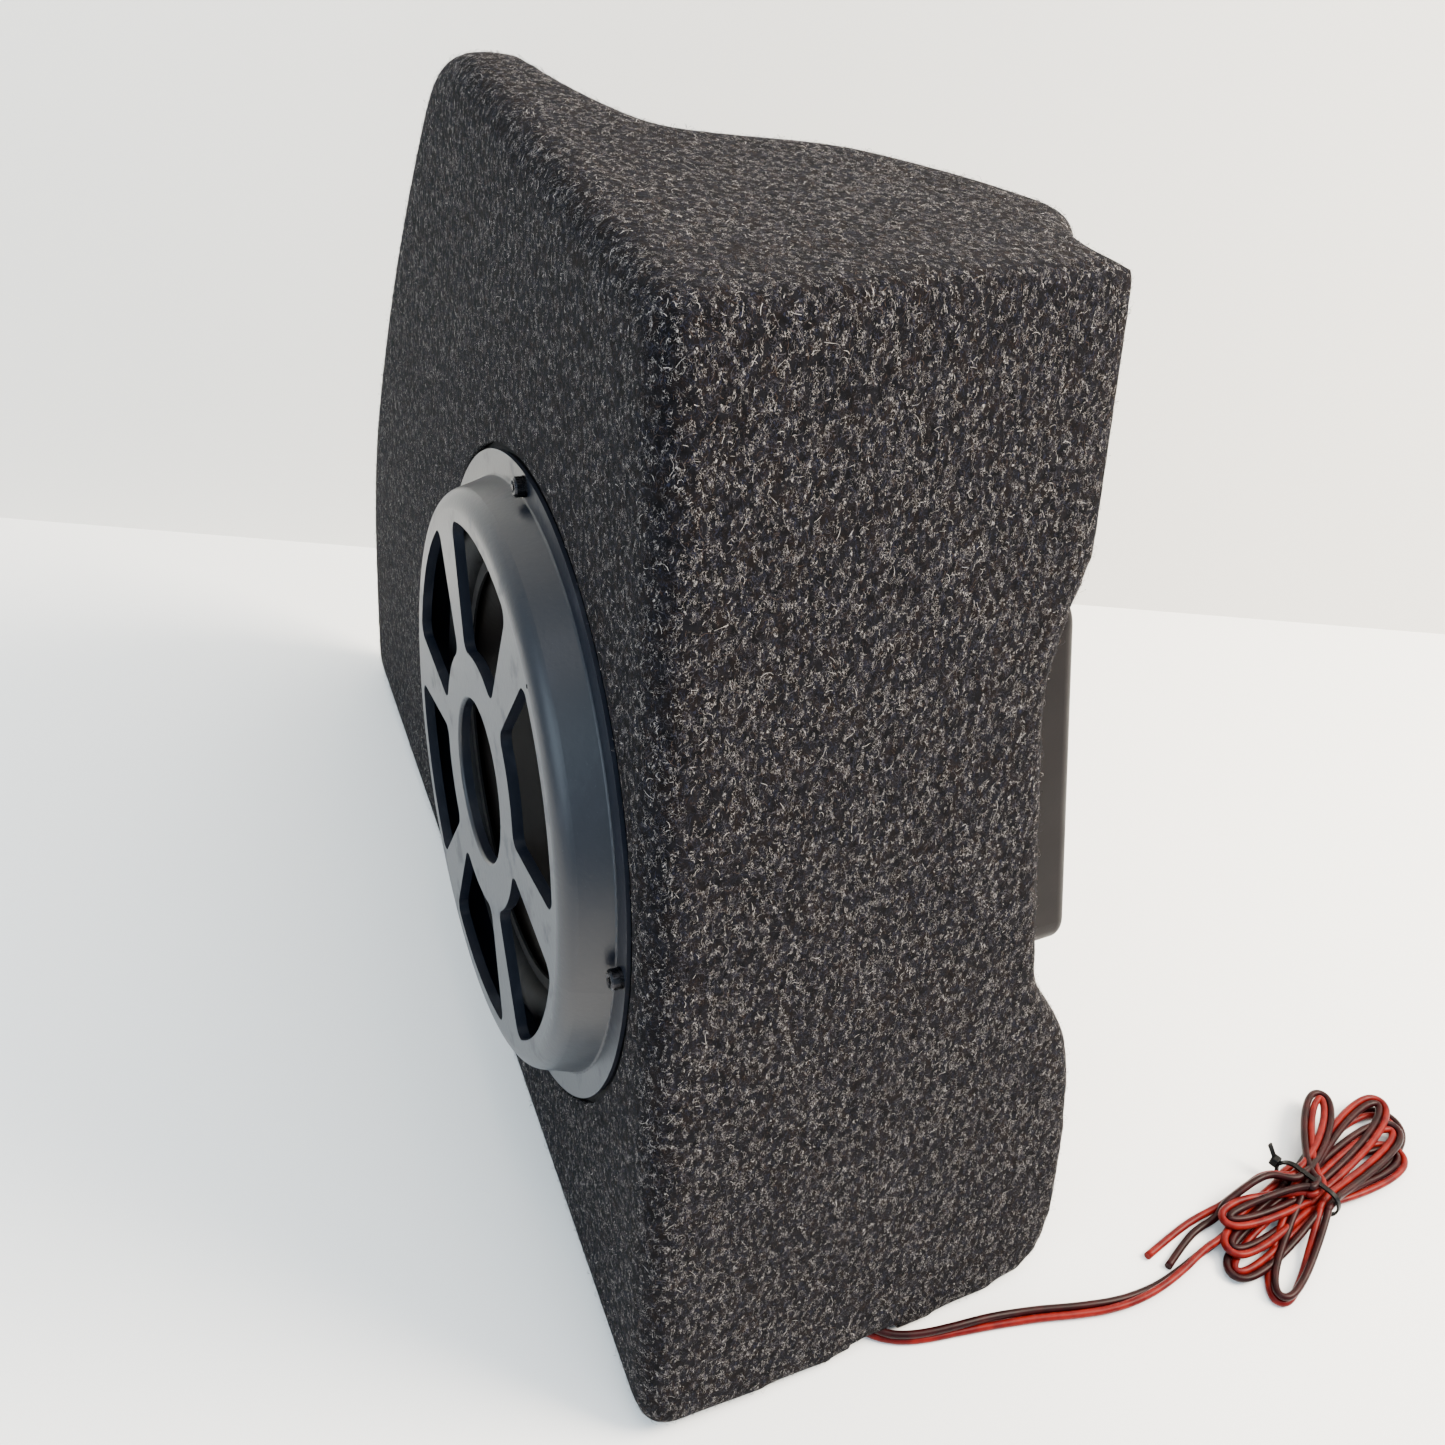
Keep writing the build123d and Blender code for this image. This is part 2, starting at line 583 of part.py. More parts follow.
def make_controls():
    """Jacks, two knobs on their shafts, a slide switch and a lamp, in the recess."""
    floor = AMP_DEPTH - PANEL_DEPTH
    top = BOARD_Z + 1.6
    jacks = []
    for x in (-52, -36):
        jack = rod(4.15, top, floor + 8.2, x, KNOB_Y) - rod(1.7, floor, floor + 9, x, KNOB_Y)
        jacks.append(jack + rod(5.4, top, floor - AMP_WALL - 0.1, x, KNOB_Y))
    pots = []
    parts = {"input_jacks": on_amp(group(jacks))}
    for name, x in KNOB_X.items():
        pots.append(
            box((x - 5, x + 5), (KNOB_Y - 5, KNOB_Y + 5), (top, top + 1.8)) - rod(2.55, top, top + 3, x, KNOB_Y)
        )
        knob = rod(5.6, floor + 0.6, floor + 7.6, x, KNOB_Y)
        knob = chamfer(knob.edges().sort_by(Axis.Z)[-1], 0.8)
        slot = box((x - 0.6, x + 0.6), (KNOB_Y + 0.5, KNOB_Y + 7), (floor + 6.6, floor + 9))
        knob = knob - slot + rod(2.5, top + 0.4, floor + 0.6, x, KNOB_Y)
        parts[name] = on_amp(knob)
    parts["potentiometers"] = on_amp(group(pots))
    parts["switch_body"] = on_amp(
        box((20, 32), (KNOB_Y - 3.4, KNOB_Y + 3.4), (top, floor - AMP_WALL - 0.2))
        - box((22, 30), (KNOB_Y - 1.8, KNOB_Y + 1.8), (top + 0.8, floor))
    )
    parts["phase_switch"] = on_amp(box((22.2, 25.6), (KNOB_Y - 1.6, KNOB_Y + 1.6), (top + 1.0, floor + 3)))
    lamp = rod(1.5, top, floor + 1.2, 40, KNOB_Y)
    parts["power_lamp"] = on_amp(fillet(lamp.edges().sort_by(Axis.Z)[-1], 1.2))
    screws = []
    for x, y in AMP_SCREWS:
        screw = rod(1.9, 0.1, AMP_DEPTH - 2.4, x, y) + rod(1.5, -7.5, 0.1, x, y)
        head = chamfer(rod(3.8, AMP_DEPTH - 2.55, AMP_DEPTH - 0.3, x, y).edges().sort_by(Axis.Z)[-1], 0.7)
        drive = box((x - 2.2, x + 2.2), (y - 0.4, y + 0.4), (AMP_DEPTH - 1.3, AMP_DEPTH))
        drive = drive + box((x - 0.4, x + 0.4), (y - 2.2, y + 2.2), (AMP_DEPTH - 1.3, AMP_DEPTH))
        screws.append(screw + head - drive)
    parts["amp_screws"] = on_amp(group(screws))
    return parts


# ---------------------------------------------------------------- wiring
def route_radii(points):
    """The arc at each inner point: 0.45 of its shorter run over the tangent of half the turn."""
    radii = []
    corners = [Vector(*p) for p in points]
    for before, here, after in zip(corners, corners[1:], corners[2:]):
        turn = math.radians((here - before).get_angle(after - here))
        shorter = min((here - before).length, (after - here).length)
        radii.append(0.45 * shorter / math.tan(turn / 2))
    return radii


def tube(points, diameter, name, max_radius=600):
    """A round tube along straight runs and tangent arcs; prints its radii and volume ratio."""
    radii = [min(r, max_radius) for r in route_radii(points)]
    path = FilletPolyline(*points, radius=radii)
    solid = sweep(Plane(path @ 0, z_dir=path % 0) * Circle(diameter / 2), path=path)
    ratio = solid.volume / (math.pi * diameter**2 / 4 * path.length)
    print(f"{name}: length {path.length:.1f}, radii {[round(r) for r in radii]}, volume ratio {ratio:.4f}")
    return solid


def make_loom():
    """Wires held inside the box: supply from the grommet, and the pair to the driver."""
    return {
        "supply_loom": to_row(tube(SUPPLY_ROUTE, LEAD_D, "supply_loom")),
        "speaker_loom": to_row(tube(SPEAKER_ROUTE, SPEAKER_D, "speaker_loom")),
    }


def make_lead():
    """The free lead: grommet, run, hank with its tie, and the two bare cores."""
    grommet = turned(
        [(2.6, -5.6), (4.6, -5.6), (4.6, -4.1), (3.4, -4.1), (3.4, 0.1), (4.8, 0.1), (4.4, 2.2), (2.6, 2.6)]
    )
    grommet = Pos(POCKET_X, GROMMET_Y, GROMMET_Z) * (Rot(0, 0, -90) * grommet)
    hank = extrude(make_face(Spline(*HANK_OUTLINE, periodic=True)), amount=HANK_HEIGHT)
    hank = chamfer(hank.faces().sort_by(Axis.Z)[-1].edges(), 4)
    return {
        "lead_grommet": to_row(grommet),
        "lead_run": to_row(tube(LEAD_ROUTE, LEAD_D, "lead_run")),
        "lead_hank": to_row(hank),
        "cable_tie": to_row(make_tie()),
        **{name: to_row(tube(points, CORE_D, name)) for name, points in TAIL_ENDS.items()},
    }


def make_tie():
    """Nylon tie about the hank's middle: band, head and cut tail."""
    wide, tall, thick = 34.0, 16.6, 1.1
    band = SlotOverall(wide, tall) - offset(SlotOverall(wide, tall), -thick)
    band = Pos(0, 0, -1.25) * extrude(band, amount=2.5)
    head = Pos(-wide / 2 - 1.6, 2.0, 0) * Box(4.2, 5.0, 4.6)
    tail = Pos(-wide / 2 - 4.6, 6.0, 0) * (Rot(0, 0, 40) * Box(1.1, 9.0, 2.4))
    tie = band + fillet(head.edges(), 0.8) + tail
    angle = math.degrees(math.atan2(HANK_DIRECTION[1], HANK_DIRECTION[0])) - 90
    return Pos(HANK_TIE[0], HANK_TIE[1], tall / 2 + 0.1) * (Rot(0, 0, angle) * (Rot(90, 0, 0) * tie))


# ---------------------------------------------------------------- write
def build():
    parts = make_enclosure()
    parts.update(make_wadding())
    parts.update(make_driver())
    parts["grille"] = make_grille()
    parts.update(make_grille_screws())
    parts.update(make_amp_casing())
    parts.update(make_amp_electronics())
    parts.update(make_controls())
    parts.update(make_lead())
    parts.update(make_loom())
    return parts


for node, shape in build().items():
    export_step(shape, f"parts/{node}.step")
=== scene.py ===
"""Looks of a carpeted powered car subwoofer: rounded carpet skin with real fibres, pressed grille,
moulded amplifier cover, and a two-core lead tied in a hank. Metres, in the row frame."""

import math

import bmesh
import bpy
import numpy as np
from mathutils import Matrix, Vector


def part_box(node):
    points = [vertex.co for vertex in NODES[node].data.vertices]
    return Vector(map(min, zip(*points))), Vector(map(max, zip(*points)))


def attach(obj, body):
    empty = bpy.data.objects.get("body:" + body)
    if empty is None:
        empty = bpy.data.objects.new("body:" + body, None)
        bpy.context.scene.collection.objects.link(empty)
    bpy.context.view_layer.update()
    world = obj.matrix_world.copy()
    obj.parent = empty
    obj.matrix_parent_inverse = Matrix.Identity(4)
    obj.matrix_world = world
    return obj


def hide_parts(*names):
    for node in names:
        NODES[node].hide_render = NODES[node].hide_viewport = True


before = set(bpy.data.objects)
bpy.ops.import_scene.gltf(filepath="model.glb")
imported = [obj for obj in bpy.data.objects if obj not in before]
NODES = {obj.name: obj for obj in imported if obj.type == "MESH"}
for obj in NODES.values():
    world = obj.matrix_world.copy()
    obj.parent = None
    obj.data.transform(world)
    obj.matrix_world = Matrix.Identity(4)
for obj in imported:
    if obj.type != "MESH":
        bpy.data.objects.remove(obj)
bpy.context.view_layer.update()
ROOT = "cabinet"

# ---------------------------------------------------------------- places taken from the frame
grille_low, grille_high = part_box("grille")
DRIVER_AXIS = (grille_low + grille_high) / 2
FRONT_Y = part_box("carpet_cover")[0].y
MM = 0.001


def bench(x, y, z=0.0):
    """Bench millimetres (x from the driver's axis, y behind the front face) to the row frame."""
    return Vector((DRIVER_AXIS.x + x * MM, FRONT_Y + y * MM, z * MM))


# ---------------------------------------------------------------- camera
SENSOR_MM = LENS_MM = 36.0
CAMERA_PLACE = (450.2, -139.4, 586.2)  # bench millimetres
CAMERA_AIM = (-0.7071, 0.3594, -0.6090)
CAMERA_RIGHT = (0.3641, 0.9233, 0.1220)


def make_camera():
    data = bpy.data.cameras.new("camera")
    data.lens = LENS_MM
    data.sensor_width = SENSOR_MM
    data.clip_start = 0.01
    camera = bpy.data.objects.new("camera", data)
    camera.location = bench(*CAMERA_PLACE)
    aim = Vector(CAMERA_AIM).normalized()
    right = Vector(CAMERA_RIGHT)
    right = (right - aim * right.dot(aim)).normalized()
    turn = Matrix((right, right.cross(aim), -aim)).transposed()
    camera.matrix_world = Matrix.Translation(camera.location) @ turn.to_4x4()
    bpy.context.collection.objects.link(camera)
    bpy.context.scene.camera = camera


# ---------------------------------------------------------------- small helpers
def new_mesh_object(name, vertices, faces, smooth=True):
    mesh = bpy.data.meshes.new(name)
    mesh.from_pydata([tuple(v) for v in vertices], [], faces)
    mesh.update()
    if smooth:
        mesh.shade_smooth()
    made = bpy.data.objects.new(name, mesh)
    bpy.context.collection.objects.link(made)
    return made


def spline_points(points, resolution=10):
    """The smooth line of a route: a NURBS spline with the route's points as its control points."""
    data = bpy.data.curves.new("route", "CURVE")
    data.dimensions = "3D"
    spline = data.splines.new("NURBS")
    spline.points.add(len(points) - 1)
    for target, point in zip(spline.points, points):
        target.co = (*point, 1.0)
    spline.order_u = 3
    spline.use_endpoint_u = True
    spline.resolution_u = resolution
    holder = bpy.data.objects.new("route", data)
    mesh = bpy.data.meshes.new_from_object(holder)
    line = np.array([v.co for v in mesh.vertices], float)
    bpy.data.meshes.remove(mesh)
    bpy.data.objects.remove(holder)
    bpy.data.curves.remove(data)
    return line


def tube_mesh(name, line, radius, sides=14):
    """A round tube along a line, with flat cut ends."""
    tangents = np.gradient(line, axis=0)
    tangents /= np.linalg.norm(tangents, axis=1)[:, None]
    side = np.cross(tangents[0], (0.0, 0.0, 1.0))
    side /= np.linalg.norm(side)
    vertices = []
    for point, tangent in zip(line, tangents):
        side = side - tangent * side.dot(tangent)
        side /= np.linalg.norm(side)
        other = np.cross(tangent, side)
        for k in range(sides):
            a = 2 * math.pi * k / sides
            vertices.append(point + radius * (math.cos(a) * side + math.sin(a) * other))
    faces = []
    for i in range(len(line) - 1):
        for k in range(sides):
            a, b = i * sides + k, i * sides + (k + 1) % sides
            faces.append((a, b, b + sides, a + sides))
    faces.append(tuple(reversed(range(sides))))
    faces.append(tuple(range((len(line) - 1) * sides, len(line) * sides)))
    made = new_mesh_object(name, vertices, faces)
    for end in (len(faces) - 2, len(faces) - 1):
        made.data.polygons[end].use_smooth = False
    return made


# ---------------------------------------------------------------- lead
CORE_R = 0.0018
CORE_SPREAD = 1.02  # from the pair's middle to a core's, in core radii
FLOOR_GAP = 0.0001
# The single run's places in bench millimetres, from inside the box to the foot of the hank.
LEAD_ROUTE = [
    (121, 104.2, 13.0), (132, 104.2, 12.0), (143, 104.1, 7.6), (154, 104.0, 3.9),
    (166, 103.8, 2.7), (177.6, 104.2, 2.6), (187.2, 108, 2.6),
    (193.2, 114.4, 2.6), (196.8, 122, 2.6), (199.2, 133, 2.6), (200.5, 148, 2.6),
    (201.8, 166, 2.6), (204.6, 186, 2.6), (209.2, 206, 2.6), (212.2, 225, 2.6),
    (211.8, 245, 2.6), (207.8, 263, 2.6), (202.4, 279, 2.6), (199.6, 292, 2.6),
]
TIE = Vector((191.0, 351.0))
TIE_ALONG = Vector((-0.385, 0.923))  # up the hank
TIE_ACROSS = Vector((0.923, 0.385))
TIE_HALF = 5  # how far a pass runs straight each side of the tie
# Each pass through the tie: place across the hank and height, in the order of winding.
PASSES = [
    (-8, 3.2), (8, 3.2), (-11, 6.8), (11, 6.8), (-3.6, 6.8), (11, 10.4), (-3.6, 10.4),
    (3.8, 6.8), (3.6, 13.9), (-6.5, 13.6),
]
# Loops above the tie, then loops below it: tip, half width, height of the tip.
UPPER_LOOPS = [
    ((166, 433), 13.5, 2.6), ((186, 420), 8.5, 3.8), ((174, 426), 7, 7.0), ((158, 429), 7.5, 8.6),
    ((146, 397), 5.5, 10.6),
]
LOWER_LOOPS = [
    ((207, 290), 6.5, 6.8), ((217, 286), 7.0, 3.2), ((236, 299), 7.0, 2.6), ((194, 296), 5.0, 9.8),
]
LOOP_ANGLES = [38, 78, 118, 155, 205, 242, 282, 322]
LOOP_PEAK = 0.77  # the greatest value of sin(t) * sin(t / 2), which sets a loop's width
TAILS = {
    "red": [(184.6, 299, 3.6), (186, 286, 2.2), (190, 271, 1.9), (195.4, 254, 1.9)],
    "dark": [(189, 299, 3.6), (190.6, 286, 2.2), (196, 273.4, 1.9), (203, 260.6, 1.9)],
}


def at_tie(place, along):
    across, height = place
    flat = TIE + TIE_ALONG * along + TIE_ACROSS * across
    return (flat.x, flat.y, height)


def loop_points(entry, leave, tip, half_width, tip_height, upward):
    """One teardrop loop from the tie round a tip and back."""
    tip = Vector(tip)
    axis = tip - TIE
    across = Vector((axis.y, -axis.x)).normalized() * (1 if upward else -1)
    start = TIE_ACROSS * entry[0]
    end = TIE_ACROSS * leave[0]
    turn = 1 if upward else -1
    points = []
    for degrees in LOOP_ANGLES:
        t = math.radians(degrees)
        out = (1 - math.cos(t)) / 2
        wide = -math.sin(t) * math.sin(t / 2) * half_width / LOOP_PEAK * turn
        share = degrees / 360
        near_tie = (1 - out) ** 1.5
        offset = (start * (1 - share) + end * share) * near_tie
        flat = TIE + axis * out + across * wide + offset
        held = entry[1] * (1 - share) + leave[1] * share
        points.append((flat.x, flat.y, held * near_tie + tip_height * (1 - near_tie)))
    return points


def hank_points():
    """The turns of the hank, from the first pass up through the tie to the last pass down."""
    points = []
    for i, upper in enumerate(UPPER_LOOPS):
        up, down = PASSES[2 * i], PASSES[2 * i + 1]
        points += [at_tie(up, -TIE_HALF), at_tie(up, TIE_HALF)]
        points += loop_points(up, down, *upper, upward=True)
        points += [at_tie(down, TIE_HALF), at_tie(down, -TIE_HALF)]
        if i < len(LOWER_LOOPS):
            points += loop_points(down, PASSES[2 * i + 2], *LOWER_LOOPS[i], upward=False)
    return points


def pair_offsets(line, keys):
    """The vector from the pair's middle to its red core at each point; keys: (share of length, degrees)."""
    tangents = np.gradient(line, axis=0)
    tangents /= np.linalg.norm(tangents, axis=1)[:, None]
    along = np.concatenate([[0], np.cumsum(np.linalg.norm(np.diff(line, axis=0), axis=1))])
    angles = np.radians(np.interp(along, [k[0] for k in keys], [k[1] for k in keys]))
    level = np.cross(tangents, (0.0, 0.0, 1.0))
    level /= np.linalg.norm(level, axis=1)[:, None]
    up = np.cross(level, tangents)
    return (level * np.cos(angles)[:, None] + up * np.sin(angles)[:, None]) * CORE_R * CORE_SPREAD


# How the pair lies along its length: (metres from the grommet, angle of the red core); 0 is level.
TWIST = [
    (0.0, 0), (0.06, -60), (0.08, -85), (0.11, -70), (0.145, -15), (0.18, 0), (0.215, 50), (0.25, 85),
    (0.30, 30), (0.42, 0), (0.55, 170), (0.72, 190), (0.80, 360), (1.05, 350), (1.15, 200), (1.35, 170),
    (1.42, 185), (1.475, 350), (1.57, 370), (1.62, 290), (1.70, 280),
]
TAIL_LEAD_IN = [(179.6, 334, 12.8), (181.8, 320, 11.6), (184.2, 308, 7.4)]


def make_lead():
    """Two cores side by side along one route: out of the box, through the hank, to their bare ends."""
    route = [bench(*p) for p in LEAD_ROUTE + hank_points() + TAIL_LEAD_IN]
    centre = spline_points(route)
    offsets = pair_offsets(centre, TWIST)
    lift = np.maximum(0.0, CORE_R + FLOOR_GAP - (centre[:, 2] - np.abs(offsets[:, 2])))
    centre[:, 2] += lift
    for name, sign in (("red", 1), ("dark", -1)):
        line = centre + sign * offsets
        onward = (line[-1] - line[-2]) / np.linalg.norm(line[-1] - line[-2])
        tail = [line[-1], line[-1] + onward * 0.004] + [bench(*p) for p in TAILS[name]]
        line = np.concatenate([line, spline_points(tail)[1:]])
        core = tube_mesh(f"lead_{name}_core", line, CORE_R)
        core.data.materials.append(lead_material(name))
        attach(core, ROOT)
    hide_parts("lead_run", "lead_hank", "lead_tail_red")
    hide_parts("lead_tail_dark")


# ---------------------------------------------------------------- materials
class Shader:
    """A principled material and short ways to add nodes to it."""

    def __init__(self, name):
        self.material = bpy.data.materials.new(name)
        self.material.use_nodes = True
        self.tree = self.material.node_tree
        self.surface = self.tree.nodes["Principled BSDF"]
        self.coord = self.node("ShaderNodeTexCoord").outputs["Object"]

    def node(self, kind, inputs=(), **settings):
        made = self.tree.nodes.new(kind)
        for key, value in settings.items():
            setattr(made, key, value)
        for key, value in dict(inputs).items():
            self.put(made.inputs[key], value)
        return made

    def put(self, socket, value):
        if isinstance(value, bpy.types.NodeSocket):
            self.tree.links.new(value, socket)
        else:
            socket.default_value = value

    def set(self, **inputs):
        for key, value in inputs.items():
            self.put(self.surface.inputs[key.replace("_", " ")], value)
        return self.material

    def noise(self, scale, detail=2.0, rough=0.5, distortion=0.0, vector=None):
        made = self.node(
            "ShaderNodeTexNoise",
            {"Vector": vector or self.coord, "Scale": scale, "Detail": detail, "Roughness": rough,
             "Distortion": distortion},
        )
        return made.outputs["Fac"]

    def stretched(self, scale, turn=(0, 0, 0), shift=(0, 0, 0)):
        made = self.node(
            "ShaderNodeMapping", {"Vector": self.coord, "Scale": scale, "Rotation": turn, "Location": shift}
        )
        return made.outputs["Vector"]

    def maths(self, operation, a, b=0.0, c=0.0):
        made = self.node("ShaderNodeMath", operation=operation)
        for socket, value in zip(made.inputs, (a, b, c)):
            self.put(socket, value)
        return made.outputs[0]

    def between(self, value, low, high, out_low=0.0, out_high=1.0):
        made = self.node(
            "ShaderNodeMapRange",
            {"Value": value, "From Min": low, "From Max": high, "To Min": out_low, "To Max": out_high},
            interpolation_type="SMOOTHSTEP",
        )
        return made.outputs["Result"]

    def mix(self, factor, a, b):
        made = self.node("ShaderNodeMix", data_type="RGBA")
        for socket, value in zip((made.inputs[0], made.inputs[6], made.inputs[7]), (factor, a, b)):
            self.put(socket, value)
        return made.outputs[2]

    def bump(self, height, distance, strength=1.0):
        made = self.node("ShaderNodeBump", {"Height": height, "Distance": distance, "Strength": strength})
        return made.outputs["Normal"]


def scaled_colour(colour, factor, added=0.0):
    return tuple(c * factor + added for c in colour[:3]) + (1.0,)


def lead_material(name):
    """Soft vinyl insulation, slightly uneven, with faint scuffs."""
    colours = {
        "red": ((0.062, 0.0012, 0.0015, 1), (0.120, 0.0042, 0.0026, 1)),
        "dark": ((0.0070, 0.0006, 0.0009, 1), (0.016, 0.0014, 0.0018, 1)),
    }
    shader = Shader(f"lead_{name}")
    patches = shader.between(shader.noise(140, 3), 0.35, 0.65)
    scuffs = shader.between(shader.noise(900, 2), 0.62, 0.75)
    low, high = colours[name]
    colour = shader.mix(patches, low, high)
    roughness = shader.between(scuffs, 0, 1, 0.36, 0.55)
    normal = shader.bump(shader.noise(1400, 2), 0.00004)
    return shader.set(Base_Color=colour, Roughness=roughness, Normal=normal, Specular_IOR_Level=0.09)


def moulded(name, colour, roughness=0.5, grain=900, depth=0.00004, shine=0.2):
    """Moulded plastic with a fine grain and a slight unevenness of tone."""
    shader = Shader(name)
    tone = shader.between(shader.noise(60, 3), 0.3, 0.7)
    darker = scaled_colour(colour, 0.8)
    rough = shader.between(shader.noise(35, 3), 0.3, 0.7, roughness - 0.05, roughness + 0.07)
    normal = shader.bump(shader.noise(grain, 3), depth)
    return shader.set(
        Base_Color=shader.mix(tone, darker, colour), Roughness=rough, Normal=normal, Specular_IOR_Level=shine,
    )


def painted_metal(name, colour, roughness=0.35, edge=(0.02, 0.024, 0.03, 1)):
    """Sprayed satin paint on pressed steel: orange peel, a little dust and worn high spots."""
    shader = Shader(name)
    peel = shader.noise(520, 2)
    dust = shader.between(shader.noise(45, 4, 0.6), 0.5, 0.72)
    colour = shader.mix(dust, colour, scaled_colour(colour, 1.35, 0.0015))
    specks = shader.between(shader.noise(1800, 1), 0.74, 0.8)
    colour = shader.mix(specks, colour, edge)
    rough = shader.between(dust, 0, 1, roughness, roughness + 0.12)
    return shader.set(
        Base_Color=colour, Roughness=rough, Normal=shader.bump(peel, 0.00006), Specular_IOR_Level=0.36,
    )


def bare_metal(name, colour, roughness=0.35, grain=(1, 1, 18)):
    """Turned, drawn or plated metal with a directional grain."""
    shader = Shader(name)
    lines = shader.noise(400, 3, vector=shader.stretched(grain))
    rough = shader.between(lines, 0.3, 0.7, roughness - 0.08, roughness + 0.1)
    patches = shader.between(shader.noise(80, 3), 0.3, 0.7)
    tone = shader.mix(patches, scaled_colour(colour, 0.85), colour)
    return shader.set(Base_Color=tone, Roughness=rough, Metallic=1.0, Normal=shader.bump(lines, 0.00002))


def rubber(name, colour=(0.014, 0.014, 0.015, 1), grain=700):
    shader = Shader(name)
    bloom = shader.between(shader.noise(50, 4, 0.6), 0.45, 0.75)
    tone = shader.mix(bloom, colour, scaled_colour(colour, 1.8, 0.001))
    normal = shader.bump(shader.noise(grain, 3), 0.00006)
    return shader.set(Base_Color=tone, Roughness=0.62, Normal=normal, Specular_IOR_Level=0.12)


def cloth(name, colour, thread=0.0009):
    """A plain weave: two crossing sets of threads."""
    shader = Shader(name)
    inputs = {"Vector": shader.coord, "Scale": 0.16 / thread}
    across = shader.node("ShaderNodeTexWave", inputs, bands_direction="X")
    upward = shader.node("ShaderNodeTexWave", inputs, bands_direction="Z")
    weave = shader.maths("MULTIPLY", across.outputs["Fac"], upward.outputs["Fac"])
    tone = shader.mix(weave, scaled_colour(colour, 0.55), colour)
    return shader.set(Base_Color=tone, Roughness=0.9, Normal=shader.bump(weave, 0.0002))


def fibreboard(name, colour, fleck=(0.10, 0.07, 0.045, 1)):
    """Pressed wood fibre with small flecks."""
    shader = Shader(name)
    flecks = shader.between(shader.noise(700, 3, vector=shader.stretched((1, 1, 3))), 0.56, 0.68)
    patches = shader.between(shader.noise(50, 3), 0.35, 0.65)
    tone = shader.mix(patches, scaled_colour(colour, 0.85), colour)
    tone = shader.mix(flecks, tone, fleck)
    return shader.set(Base_Color=tone, Roughness=0.85, Normal=shader.bump(shader.noise(900, 3), 0.0001))


# ---------------------------------------------------------------- carpet
CARPET = 0.003  # thickness in metres
PILE_SEED = 7
PILE_PIECES = 4
FIBRES_EACH = 33000
HOLE_R = 138.5  # the driver's cut-out, in mm
MODULE_GAP = 7  # bare margin round the module, in mm
VOXEL = 0.0029  # the soft block's remesh, in metres
SMOOTHINGS = 22  # passes over the whole block
BACK_ROUNDINGS = 35  # further passes over the back, which set in between these depths, in mm
BACK_START, BACK_FULL = 140, 172
SHELL_INWARD = 0.0022  # how far the shell and baffle draw in under the carpet, in metres
# Opposite corners, in bench mm, of the block that fills the lead's tunnel and of the slot cut for the lead.
TUNNEL_PLUG = ((112, 92, 0), (193, 128, 9))
TUNNEL_SLOT = ((149, 97, -20), (260, 123, 8))


def carpet_material():
    """Heather needle-felt: dark ground, winding light, tan and blue-grey fibres."""
    shader = Shader("carpet")
    clumps = shader.between(shader.noise(260, 3), 0.38, 0.62)
    ground = shader.mix(clumps, (0.0006, 0.0006, 0.0010, 1), (0.0032, 0.0031, 0.0042, 1))
    warm = shader.between(shader.noise(120, 3), 0.48, 0.66)
    ground = shader.mix(shader.maths("MULTIPLY", warm, 0.6), ground, (0.0044, 0.0026, 0.0020, 1))
    layers = [
        (980, (1, 1, 0.55), (0, 0, 0), 0.032, (0.012, 0.013, 0.024, 1)),
        (860, (0.6, 1, 1), (0, 0.5, 0.4), 0.028, (0.016, 0.010, 0.009, 1)),
        (820, (1, 0.7, 0.8), (0.4, 0.3, 1.1), 0.026, (0.042, 0.038, 0.044, 1)),
        (1100, (0.8, 1, 0.6), (1.0, 0.7, 0.2), 0.026, (0.25, 0.230, 0.220, 1)),
    ]
    height = shader.noise(330, 3)
    colour = ground
    for i, (scale, stretch, turn, width, tint) in enumerate(layers):
        place = shader.stretched(stretch, turn, (i * 3.1, i * 1.7, i * 2.3))
        field = shader.noise(scale, 1.2, 0.5, 0.7, place)
        off_middle = shader.maths("ABSOLUTE", shader.maths("SUBTRACT", field, 0.5))
        line = shader.between(off_middle, width, width * 0.3)
        broken = shader.between(shader.noise(scale * 0.42, 1, vector=place), 0.50, 0.56)
        fibre = shader.maths("MULTIPLY", line, broken)
        colour = shader.mix(fibre, colour, tint)
        height = shader.maths("ADD", height, shader.maths("MULTIPLY", fibre, 0.35))
    return shader.set(
        Base_Color=colour, Roughness=0.95, Normal=shader.bump(height, 0.0005), Specular_IOR_Level=0.08,
    )


def pile_material():
    shader = Shader("carpet_fibres")
    tint = shader.node("ShaderNodeAttribute", attribute_name="tint").outputs["Color"]
    shade = shader.between(shader.noise(900, 2), 0.3, 0.7, 0.8, 1.15)
    scaled = shader.node("ShaderNodeVectorMath", {0: tint, "Scale": shade}, operation="SCALE").outputs[0]
    return shader.set(Base_Color=scaled, Roughness=0.75, Specular_IOR_Level=0.15)


# The module's tilted face: where it is, which way it looks, and its outline in mm.
AMP_TILT = math.atan2(17.0, 128.0)
AMP_ORIGIN = bench(45, 163.6, 238)
AMP_OUT = Vector((0, math.cos(AMP_TILT), math.sin(AMP_TILT)))
AMP_UP = Vector((0, -math.sin(AMP_TILT), math.cos(AMP_TILT)))
AMP_OUTLINE = [(-91, -78), (70, -78), (70, 78), (-55, 78)]
AMP_CORNER_R = 14


